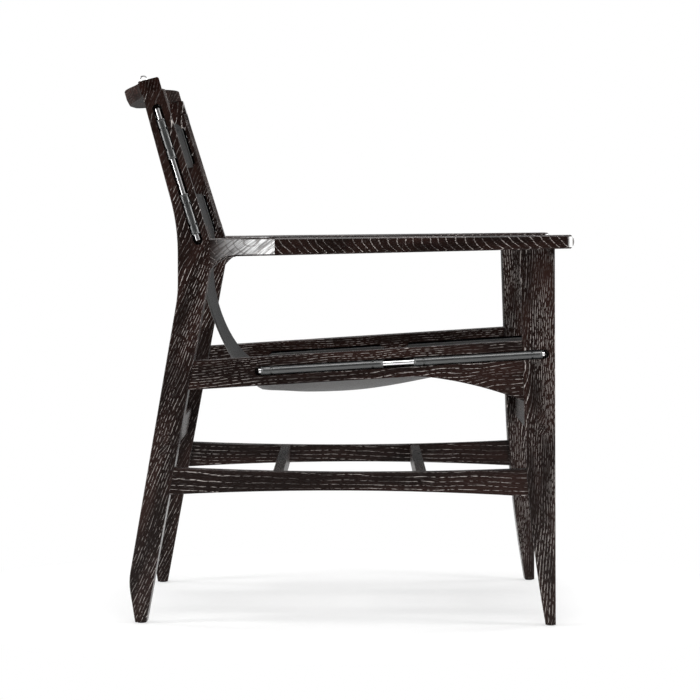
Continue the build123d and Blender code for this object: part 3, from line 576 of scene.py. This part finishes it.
# %% What a station says
def clear_half_width(y):
    """Half the width between the sheet's edges, where the frames' inner faces leave it its gap."""
    start, _, _ = rods["seat_rod_right"]
    edge = start - outward * sheet_edge_in
    return -edge.x - (y - edge.y) * splay_slope


def rod_station(rod, distance, dish):
    """The sheet where a rod holds it: its middle's y and z, its normal's, its half-width and dish."""
    start, direction, _ = rods[rod]
    edge = start + direction * distance - outward * sheet_edge_in
    normal = Vector((0, direction.z, -direction.y)).normalized()
    return [edge.y - normal.y * dish, edge.z - normal.z * dish, normal.y, normal.z, -edge.x, dish]


def smooth_value(before, first, last, after, t):
    """One value of the smooth curve through four, at a share t of the way from first to last."""
    start_slope = (last - before) / 2
    end_slope = (after - first) / 2
    level = first + (last - first) * (3 - 2 * t) * t**2
    return level + start_slope * t * (1 - t) ** 2 - end_slope * (1 - t) * t**2


def eased(rows, steps):
    """The rows with smooth ones between them."""
    chain = [rows[0], *rows, rows[-1]]
    made = []
    for four_rows in zip(chain, chain[1:], chain[2:], chain[3:]):
        for step in range(steps):
            made.append([smooth_value(*values, step / steps) for values in zip(*four_rows)])
    return made


# %% Rows of the hung sheet
back_length = rods["back_rod_right"][2]
seat_length = rods["seat_rod_right"][2]
back_top = back_sleeve_shares[0] * back_length - sheet_overhang
back_run = back_sleeve_shares[-1] * back_length + sheet_overhang - back_top
back_rows = [
    rod_station("back_rod_right", back_top + share * back_run, dish_share * back_dish)
    for share, dish_share in back_stations_shares
]
seat_rows = [
    rod_station("seat_rod_right", share * seat_length, dish_share * seat_dish)
    for share, dish_share in seat_stations_shares
]
waist_start = Vector((0, *back_rows[-1][:2]))
middles = []
for back, down, _, _ in waist_stations_shares:
    y = waist_start.y + (heel.y - waist_start.y) * back
    z = waist_start.z + (heel.z - waist_start.z) * down
    middles.append(Vector((0, y, z)))
chain = [waist_start, *middles, Vector((0, *seat_rows[0][:2]))]
waist_rows = []
for before, middle, after, shares in zip(chain, chain[1:], chain[2:], waist_stations_shares):
    run = (after - before).normalized()
    half = clear_half_width(middle.y) * shares[2]
    waist_rows.append([middle.y, middle.z, run.z, -run.y, half, seat_dish * shares[3]])

steps_between = 8
rows = np.array(eased([*back_rows, *waist_rows, *seat_rows], steps_between) + [seat_rows[-1]])
sheet_reach = np.concatenate([[0], np.cumsum(np.hypot(*np.diff(rows[:, :2], axis=0).T))])
sheet_length = sheet_reach[-1]
print("rows", len(rows), "length down the middle", round(sheet_length, 3))


# %% From the flat sheet to the hung one
def on_sheet(reach, x, lift=0.0):
    """A point of the hung sheet, from its place on the flat one, lifted off its middle layer."""
    y, z, normal_y, normal_z, half, dish = (np.interp(reach, sheet_reach, column) for column in rows.T)
    rise = dish * (x / half) ** 2 + lift
    return Vector((x, y + normal_y * rise, z + normal_z * rise))


def half_at(reach):
    """Half the sheet's width at a distance down it."""
    return float(np.interp(reach, sheet_reach, rows[:, 4]))


print("width at the top", round(2 * half_at(0), 3), "at the front", round(2 * half_at(sheet_length), 3))

# %% [markdown]
# ## Cutting the sheet flat, and hanging it
# A saddler cuts the hide flat, so the mesh is cut flat too. The outline runs round the back panel, the
# waist and the seat, with a bay between each two tabs. A grid of points fills it, and a Delaunay
# triangulation joins them up to the cut edge. Each point then moves to its place on the hung sheet.
# Thickness comes last, from a Solidify modifier. A cloth simulation was left out: the leather is stiff
# and is held along both sides, so its form is set by the rods.

# %% Bays between the tabs
notch_depth = 60 * mm
notch_set_in = 5 * mm        # from the end of a tab to the start of the bay
notch_round_share = 0.32     # the radius of its corners, as a share of its length
notch_round_steps = 6
# How far down the sheet the waist and the seat start.
waist_first = sheet_reach[(len(back_rows) - 1) * steps_between]
seat_first = sheet_reach[(len(back_rows) + len(waist_rows)) * steps_between]


def back_reach(distance):
    """How far down the sheet a place on the back rod lies."""
    return (distance - back_top) / back_run * waist_first


def seat_reach(distance):
    """How far down the sheet a place on the seat rod lies."""
    return seat_first + distance / seat_length * (sheet_length - seat_first)


def bay(first, last):
    """The cut edge of the bay between two tabs, as places along the sheet and in from its edge."""
    first = first + notch_set_in
    last = last - notch_set_in
    radius = notch_round_share * (last - first)
    angles = [pi / 2 * step / notch_round_steps for step in range(notch_round_steps + 1)]
    points = [(first, 0.0)]
    for angle in angles:
        points.append((first + radius * (1 - cos(angle)), notch_depth - radius + radius * sin(angle)))
    for angle in angles:
        points.append((last - radius * (1 - sin(angle)), notch_depth - radius + radius * cos(angle)))
    return [*points, (last, 0.0)]


# %% Flat outline
grid_step = 9 * mm


def straight_edge(first, last):
    """Places at even steps along a straight stretch of the sheet's side."""
    return [(reach, 0.0) for reach in np.arange(first, last, grid_step)]


back_places = [share * back_length for share in back_sleeve_shares]
seat_places = [share * seat_length for share in seat_sleeve_shares]
back_bay = bay(back_reach(back_places[1]), back_reach(back_places[2]))
seat_bay = bay(seat_reach(seat_places[1]), seat_reach(seat_places[2]))
side_edge = straight_edge(0, back_bay[0][0])
side_edge += back_bay
side_edge += straight_edge(back_bay[-1][0] + grid_step, seat_bay[0][0])
side_edge += seat_bay
side_edge += straight_edge(seat_bay[-1][0] + grid_step, sheet_length - grid_step / 2)
side_edge.append((sheet_length, 0.0))
right_edge = [(reach, inward - half_at(reach)) for reach, inward in side_edge]
outline = right_edge + [(reach, -x) for reach, x in reversed(right_edge)]
flat_area = abs(sum(a[0] * b[1] - b[0] * a[1] for a, b in zip(outline, outline[1:] + outline[:1]))) / 2
print("outline points", len(outline), "flat area", round(flat_area, 4), "m2")


# %% New pieces
def smooth_mesh(name, points, faces, finish):
    mesh = bpy.data.meshes.new(name)
    mesh.from_pydata(points, [], faces)
    mesh.polygons.foreach_set("use_smooth", [True] * len(mesh.polygons))
    mesh.materials.append(finish)
    return mesh


def placed(name, data):
    """A new object in the scene for a mesh, a lamp or the camera."""
    made = bpy.data.objects.new(name, data)
    bpy.context.scene.collection.objects.link(made)
    return made


def soften_edges(piece, width, angle):
    """Rounds the edges of a piece that turn by more than an angle in degrees."""
    edge = piece.modifiers.new("edge", "BEVEL")
    edge.width = width
    edge.segments = 2
    edge.limit_method = "ANGLE"
    edge.angle_limit = radians(angle)


# %% The hung sheet
leather_thickness = 3 * mm
edge_margin = grid_step * 0.45
fill_inside = 1              # the triangulation keeps only what lies inside the outline
same_point = 1e-6


def inside_bay(reach, inward):
    """Whether a flat place lies in a bay, or too close to its edge for a grid point."""
    return any(
        edge[0][0] - edge_margin < reach < edge[-1][0] + edge_margin and inward < notch_depth + edge_margin
        for edge in (back_bay, seat_bay)
    )


def hung_sheet():
    flat = list(outline)
    for reach in np.arange(grid_step, sheet_length - grid_step / 2, grid_step):
        half = half_at(reach)
        count = int(2 * half / grid_step)
        for step in range(1, count):
            x = -half + 2 * half * step / count
            if half - abs(x) > edge_margin and not inside_bay(reach, half - abs(x)):
                flat.append((reach, x))
    ring = list(range(len(outline)))
    flat_places = [Vector(place) for place in flat]
    points, _, faces, *_ = delaunay_2d_cdt(flat_places, [], [ring], fill_inside, same_point)
    hung = [on_sheet(*point) for point in points]
    mesh = smooth_mesh("sling_sheet", hung, [tuple(face) for face in faces], sheet_finish)
    sheet = placed("sling_sheet", mesh)
    thick = sheet.modifiers.new("thickness", "SOLIDIFY")
    thick.thickness = leather_thickness
    thick.offset = 0
    soften_edges(sheet, 0.6 * mm, 60)
    return sheet


sheet = hung_sheet()
print("sheet faces", len(sheet.data.polygons))

# %% [markdown]
# ## Sleeves round the rods
# Each tab of the leather ends in a sleeve rolled round a rod and sewn shut, with a turned lip at both
# ends and a sewn groove a little way in. A bent tube could do, but a turned profile gives the lip and the
# groove their true section, so the profile is spun round a line. That line stands a little further out
# than the rod's, so that the sleeves fill the mouths of their rebates, as they do on the real chair.

# %% Turned sleeves
sleeve_radius = 7.2 * mm
lip_radius = 7.9 * mm
lip_length = 2.4 * mm
bore_radius = 5.2 * mm       # the rods have 5 mm
sewn_band = 15 * mm          # from the end of a sleeve to its groove
groove_width = 2.4 * mm
groove_depth = 1.4 * mm
sleeve_stand_out = 0.9 * mm
soft = 0.5 * mm              # the round of lips and grooves


def mesh_object(name, points, faces, finish, smooth_angle=30):
    """A new piece that rides with the chair."""
    mesh = smooth_mesh(name, points, faces, finish)
    mesh.set_sharp_from_angle(angle=radians(smooth_angle))
    made = placed(name, mesh)
    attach(made, "root")
    return made


def spun(start, direction, profile, sides=40):
    """Points and faces of a closed profile of distance and radius spun round a line."""
    across = direction.orthogonal().normalized()
    beside = direction.cross(across)
    points = []
    for distance, radius in profile:
        for step in range(sides):
            angle = 2 * pi * step / sides
            out = across * cos(angle) + beside * sin(angle)
            points.append(start + direction * distance + out * radius)
    rings = len(profile)
    faces = [
        (
            ring * sides + step,
            ring * sides + (step + 1) % sides,
            (ring + 1) % rings * sides + (step + 1) % sides,
            (ring + 1) % rings * sides + step,
        )
        for ring in range(rings)
        for step in range(sides)
    ]
    return points, faces


def half_sleeve_profile(first, sign):
    """Outline of one end of a sleeve, from its bore to past the sewn groove."""
    # How far in from the end of the sleeve, and the radius there.
    steps = (
        (0.2 * mm, bore_radius), (0.0, bore_radius + soft), (0.0, lip_radius - soft), (soft, lip_radius),
        (lip_length - soft, lip_radius), (lip_length, sleeve_radius + 0.1 * mm),
        (lip_length + soft, sleeve_radius - 0.15 * mm), (lip_length + 3 * soft, sleeve_radius),
        (sewn_band - 3 * soft, sleeve_radius), (sewn_band - soft, sleeve_radius - 0.1 * mm),
        (sewn_band, sleeve_radius - groove_depth), (sewn_band + groove_width, sleeve_radius - groove_depth),
        (sewn_band + groove_width + soft, sleeve_radius - 0.1 * mm),
        (sewn_band + groove_width + 3 * soft, sleeve_radius),
    )
    return [(first + sign * distance, radius) for distance, radius in steps]


# %% Eight sleeves
# A grip is where a tab holds a rod: the rod, a label, the rod's line, the way out of the frame, and
# where along the rod the tab starts and ends.
grips = []
for rod, places in (("back", back_places), ("seat", seat_places)):
    start, direction, _ = rods[rod + "_rod_right"]
    left_line = (flipped(start), flipped(direction), flipped(outward))
    for number, ends in enumerate(zip(places[0::2], places[1::2]), start=1):
        grips.append((rod, f"{number}_right", start, direction, outward, *ends))
        grips.append((rod, f"{number}_left", *left_line, *ends))

for rod, label, start, direction, face_out, first, last in grips:
    profile = half_sleeve_profile(first, 1) + half_sleeve_profile(last, -1)[::-1]
    points, faces = spun(start + face_out * sleeve_stand_out, direction, profile)
    mesh_object(f"{rod}_sleeve_{label}", points, faces, sleeve_finish)

# %% [markdown]
# ## Tabs through the slits
# From each sleeve the leather goes doubled through a slit in the frame and is sewn over the sheet's
# edge. A tab is a rounded slab, so a short outline of its section is drawn out along the sleeve.

# %% Sewn tabs
tab_thickness = 5 * mm
tab_lap = 12 * mm            # how far in from the board's inner face the tab ends
tab_round = 1.6 * mm
tab_round_steps = 4


def tab(name, start, direction, face_out, first, last):
    """A slab from the rod to the sheet, with rounded long edges."""
    normal = direction.cross(face_out).normalized()
    inward_end = slit_end + tab_lap
    half = tab_thickness / 2
    section = [(0.0, -half), (inward_end - tab_round, -half)]
    for step in range(1, tab_round_steps):
        angle = pi / 2 * step / tab_round_steps
        section.append((inward_end - tab_round * (1 - sin(angle)), -half + tab_round * (1 - cos(angle))))
    section += [(inward, -lift) for inward, lift in section[:0:-1]] + [(0.0, half)]
    points = [
        start + direction * distance - face_out * inward + normal * lift
        for distance in (first, last)
        for inward, lift in section
    ]
    count = len(section)
    faces = [(i, (i + 1) % count, count + (i + 1) % count, count + i) for i in range(count)]
    faces += [tuple(range(count))[::-1], tuple(range(count, 2 * count))]
    made = mesh_object(name, points, faces, sheet_finish)
    soften_edges(made, 0.5 * mm, 50)
    return made


tabs = [tab(f"{rod}_tab_{label}", *line_and_ends) for rod, label, *line_and_ends in grips]
print("tabs", len(tabs))

# %% [markdown]
# ## Stitching
# A row of stitches runs round the cut edge of the sheet, two rows hold each tab, and one ring of them sits
# in each groove of a sleeve. A bump texture would blur close to, so each stitch is a small bead of waxed
# thread, longer than it is wide, half sunk in the leather. All beads of one kind share a mesh.

# %% One bead of thread
thread_radius = 0.45 * mm
stitch_pitch = 6 * mm
stitch_length = 4.2 * mm
bead_sides = 6
bead_swells = ((-0.36, 0.8), (0.0, 1.0), (0.36, 0.8))    # where its rings lie along it, and how thick
bead_points = len(bead_swells) * bead_sides + 2


def bead(points, faces, middle, run, up):
    """Adds one stitch: a spindle of rings between two points, with its ends dipping into the leather."""
    run = run.normalized()
    side = run.cross(up).normalized()
    up = side.cross(run)
    base = len(points)
    for distance, swell in bead_swells:
        centre = middle + run * (distance * stitch_length) - up * (abs(distance) * thread_radius)
        for step in range(bead_sides):
            angle = 2 * pi * step / bead_sides
            points.append(centre + (side * cos(angle) + up * sin(angle)) * thread_radius * swell)
    points.append(middle - run * stitch_length / 2 - up * thread_radius)
    points.append(middle + run * stitch_length / 2 - up * thread_radius)
    last_ring = base + (len(bead_swells) - 1) * bead_sides
    rear_point, front_point = len(points) - 2, len(points) - 1
    for step in range(bead_sides):
        after = (step + 1) % bead_sides
        for low in range(base, last_ring, bead_sides):
            high = low + bead_sides
            faces.append((low + step, low + after, high + after, high + step))
        faces.append((rear_point, base + after, base + step))
        faces.append((last_ring + step, last_ring + after, front_point))


# %% A row of beads
def sewn(points, faces, line, up_at):
    """Beads at an even pitch along a line of points."""
    steps = [0.0]
    for here, there in zip(line, line[1:]):
        steps.append(steps[-1] + (there - here).length)
    count = max(1, int(steps[-1] / stitch_pitch))
    coordinates = np.array(line)
    for number in range(count):
        reach = (number + 0.5) * steps[-1] / count
        spots = [
            Vector([np.interp(reach + shift, steps, coordinates[:, axis]) for axis in range(3)])
            for shift in (-stitch_length / 2, 0, stitch_length / 2)
        ]
        run = spots[2] - spots[0]
        if run.length > stitch_length / 2:
            bead(points, faces, spots[1], run, up_at(spots[1]))


# %% Stitches along the hem
hem_inset = 7 * mm
thread_lift = 0.1 * mm
sharpest_turn = 0.6          # keeps the hem from straying at the tight corners of the outline


def hem_line(side):
    """A line on the hung sheet inside its cut edge, from flat places moved in from the outline."""
    flat = np.array(outline)
    before = flat - np.roll(flat, 1, axis=0)
    after = np.roll(flat, -1, axis=0) - flat
    before /= np.linalg.norm(before, axis=1)[:, None]
    after /= np.linalg.norm(after, axis=1)[:, None]
    run = before + after
    run /= np.linalg.norm(run, axis=1)[:, None]
    turn = np.clip(np.abs((before * run).sum(1)), sharpest_turn, 1)
    inward = np.column_stack([-run[:, 1], run[:, 0]]) / turn[:, None]
    area = (flat[:, 0] * np.roll(flat[:, 1], -1) - np.roll(flat[:, 0], -1) * flat[:, 1]).sum()
    moved = flat + inward * hem_inset * (1 if area > 0 else -1)
    closed = np.vstack([moved, moved[:1]])
    return [on_sheet(*place, lift=side * (leather_thickness / 2 + thread_lift)) for place in closed]


def sheet_up(side):
    """A function that tells which way is off the leather, on one of its sides, at a spot."""
    def up(spot):
        number = int(np.argmin((rows[:, 0] - spot.y) ** 2 + (rows[:, 1] - spot.z) ** 2))
        return Vector((0, rows[number, 2], rows[number, 3])) * side
    return up


hem_points, hem_faces = [], []
for side in (1, -1):
    sewn(hem_points, hem_faces, hem_line(side), sheet_up(side))
hem_stitches = mesh_object("hem_stitches", hem_points, hem_faces, thread_finish, 60)
print("hem stitches", len(hem_points) // bead_points)

# %% Two rows on each tab
tab_rows = (4 * mm, 9 * mm)          # in from the board's inner face
row_ends_in = 4 * mm                 # from the end of a tab to the end of a row

tab_points, tab_faces = [], []
for _, _, start, direction, face_out, first, last in grips:
    normal = direction.cross(face_out).normalized()
    for tab_row in tab_rows:
        inward = slit_end + tab_row
        for side in (1, -1):
            up = normal * side
            lift = up * (tab_thickness / 2 + thread_lift)
            ends = [
                start + direction * place - face_out * inward + lift
                for place in (first + row_ends_in, last - row_ends_in)
            ]
            sewn(tab_points, tab_faces, ends, lambda spot: up)
tab_stitches = mesh_object("tab_stitches", tab_points, tab_faces, thread_finish, 60)
print("tab stitches", len(tab_points) // bead_points)

# %% A ring in each groove
# The rings go round the rod's own line, so on the outer side they lie deeper than the groove's floor.
ring_stitches = 12
ring_radius = sleeve_radius - groove_depth + 0.2 * mm
groove_middle = sewn_band + groove_width / 2

ring_points, ring_faces = [], []
for _, _, start, direction, _, first, last in grips:
    across = direction.orthogonal().normalized()
    for place in (first + groove_middle, last - groove_middle):
        for number in range(ring_stitches):
            out = Matrix.Rotation(2 * pi * number / ring_stitches, 3, direction) @ across
            middle = start + direction * place + out * ring_radius
            bead(ring_points, ring_faces, middle, direction.cross(out), out)
ring_thread = mesh_object("sleeve_stitches", ring_points, ring_faces, thread_finish, 60)
print("ring stitches", len(ring_points) // bead_points)

# %% The sheet and its sewn pieces
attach(sheet, "root")
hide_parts("sling")

# %% [markdown]
# ## Floor and light
# The chair stands in a white studio: a pale floor that runs out into white, a soft lamp overhead, one
# high up at either side, and a tall one at each corner, the two on the camera's side being stronger. The
# floor keeps the chair's shadow near its feet, and further out a share of plain white takes over, so that
# no horizon shows. What a polished face mirrors is white too, but dark to the chair's left and right, as
# it would be between black screens, so that the wood and leather keep their depth.

# %% Floor
plain_white = (1, 1, 1, 1)
floor_shades = (0.93, 0.93, 0.93, 1), (0.96, 0.96, 0.96, 1)
white_near = 0.54            # the share of plain white under the chair
white_reach = (0.40, 0.80)   # the distances in metres between which it grows to all
floor_edge = 12.0


def floor_material():
    material, tree, shader = new_material("studio_floor")
    place = object_place(tree)
    dust = noise(tree, place, 3.0)
    plug(tree, mixed(tree, dust, *floor_shades), shader, "Base Color")
    shader.inputs["Roughness"].default_value = 0.9
    shader.inputs["Specular IOR Level"].default_value = 0.0
    away = distance_of(tree, place)
    seen = Wire.add(tree, "LightPath", out="Is Camera Ray")
    white = Wire.add(tree, "Emission", sockets={"Color": plain_white, "Strength": 1.0})
    lit = Wire(tree, shader.outputs[0])
    share = (white_near + away.between(*white_reach) * (1 - white_near)) * seen
    both = Wire.add(tree, "MixShader", sockets={0: share, 1: lit, 2: white})
    tree.links.new(both.socket, tree.nodes["Material Output"].inputs["Surface"])
    return material


floor_mesh = bpy.data.meshes.new("floor")
floor_corners = [
    (-floor_edge, -floor_edge, 0),
    (floor_edge, -floor_edge, 0),
    (floor_edge, floor_edge, 0),
    (-floor_edge, floor_edge, 0),
]
floor_mesh.from_pydata(floor_corners, [], [(0, 1, 2, 3)])
floor_mesh.materials.append(floor_material())
floor = placed("floor", floor_mesh)
print("floor", 2 * floor_edge, "m wide")

# %% World
soft_level = 0.17            # what the white surroundings give to dull surfaces
dim_level = 0.12             # what polished ones mirror to the chair's left and right
side_reach = (0.40, 0.90)    # how far sideways a mirrored ray runs where that starts, and is full
world = bpy.data.worlds.new("studio")
bpy.context.scene.world = world
world.use_nodes = True
tree = world.node_tree
seen = Wire.add(tree, "LightPath", out="Is Camera Ray")
mirrored_ray = Wire.add(tree, "LightPath", out="Is Glossy Ray")
facing = along_axis(tree, Wire.add(tree, "TexCoord", out="Generated"), (1, 0, 0))
background = tree.nodes["Background"]
background.inputs["Color"].default_value = plain_white
reflected = 1 - abs(facing).between(*side_reach) * (1 - dim_level)
unseen = mirrored_ray * reflected + (1 - mirrored_ray) * soft_level
plug(tree, seen + (1 - seen) * unseen, background, "Strength")
print("world", world.name)

# %% Lamps
# Place, the point it looks at, width and height in metres, and power in watts.
lamps = {
    "overhead": ((0, 0.1, 2.8), (0, 0, 0.3), (1.2, 0.8), 32),
    "key": ((-2.2, 0.0, 2.6), (0, 0, 0.5), (2.0, 0.8), 33),
    "fill": ((2.2, 0.0, 2.6), (0, 0, 0.5), (2.0, 0.8), 26),
    "front_side": ((-0.9, -2.6, 1.0), (-0.3, 0, 0.5), (0.8, 2.0), 50),
    "rear_side": ((-0.9, 2.6, 1.0), (-0.3, 0, 0.5), (0.8, 2.0), 50),
    "front_fill": ((0.9, -2.6, 1.0), (0.3, 0, 0.5), (0.8, 2.0), 30),
    "rear_fill": ((0.9, 2.6, 1.0), (0.3, 0, 0.5), (0.8, 2.0), 30),
}
for name, (place, target, size, power) in lamps.items():
    light = bpy.data.lights.new(name, "AREA")
    light.shape = "RECTANGLE"
    light.size, light.size_y = size
    light.energy = power
    made = placed(name, light)
    made.location = place
    made.rotation_euler = (Vector(target) - Vector(place)).to_track_quat("-Z", "Y").to_euler()
print("lamps", len(lamps))

# %% [markdown]
# ## Camera
# The picture is a side view from far off and from just above the arms, so a long lens stands square to
# the side frame. The lens and place come from how fast the far frame shrinks behind the near one. The
# horizon lies above the picture's middle: a lens shift takes up part of that, and a small tilt the rest.

# %% Camera
picture_width = 700          # this and the next three in pixels
focal_pixels = 3264
vanish_x = 355               # where the lines across the chair vanish
horizon_y = 214
shift_share_y = 0.4          # the share that the lens shift takes
drop = picture_width / 2 - horizon_y
camera_data = bpy.data.cameras.new("camera")
camera_data.sensor_width = 36
camera_data.lens = focal_pixels / picture_width * camera_data.sensor_width
camera_data.shift_x = (picture_width / 2 - vanish_x) / picture_width
camera_data.shift_y = -drop * shift_share_y / picture_width
camera_data.clip_end = 100
camera = placed("camera", camera_data)
camera.location = (-5.559, -0.020, 0.6605)
pitch = atan(drop * (1 - shift_share_y) / focal_pixels)
camera.rotation_euler = (pi / 2 - pitch, 0, -pi / 2)
bpy.context.scene.camera = camera
bpy.context.scene.view_settings.view_transform = "Standard"
print("lens", round(camera_data.lens, 2), "shift", rounded((camera_data.shift_x, camera_data.shift_y)))
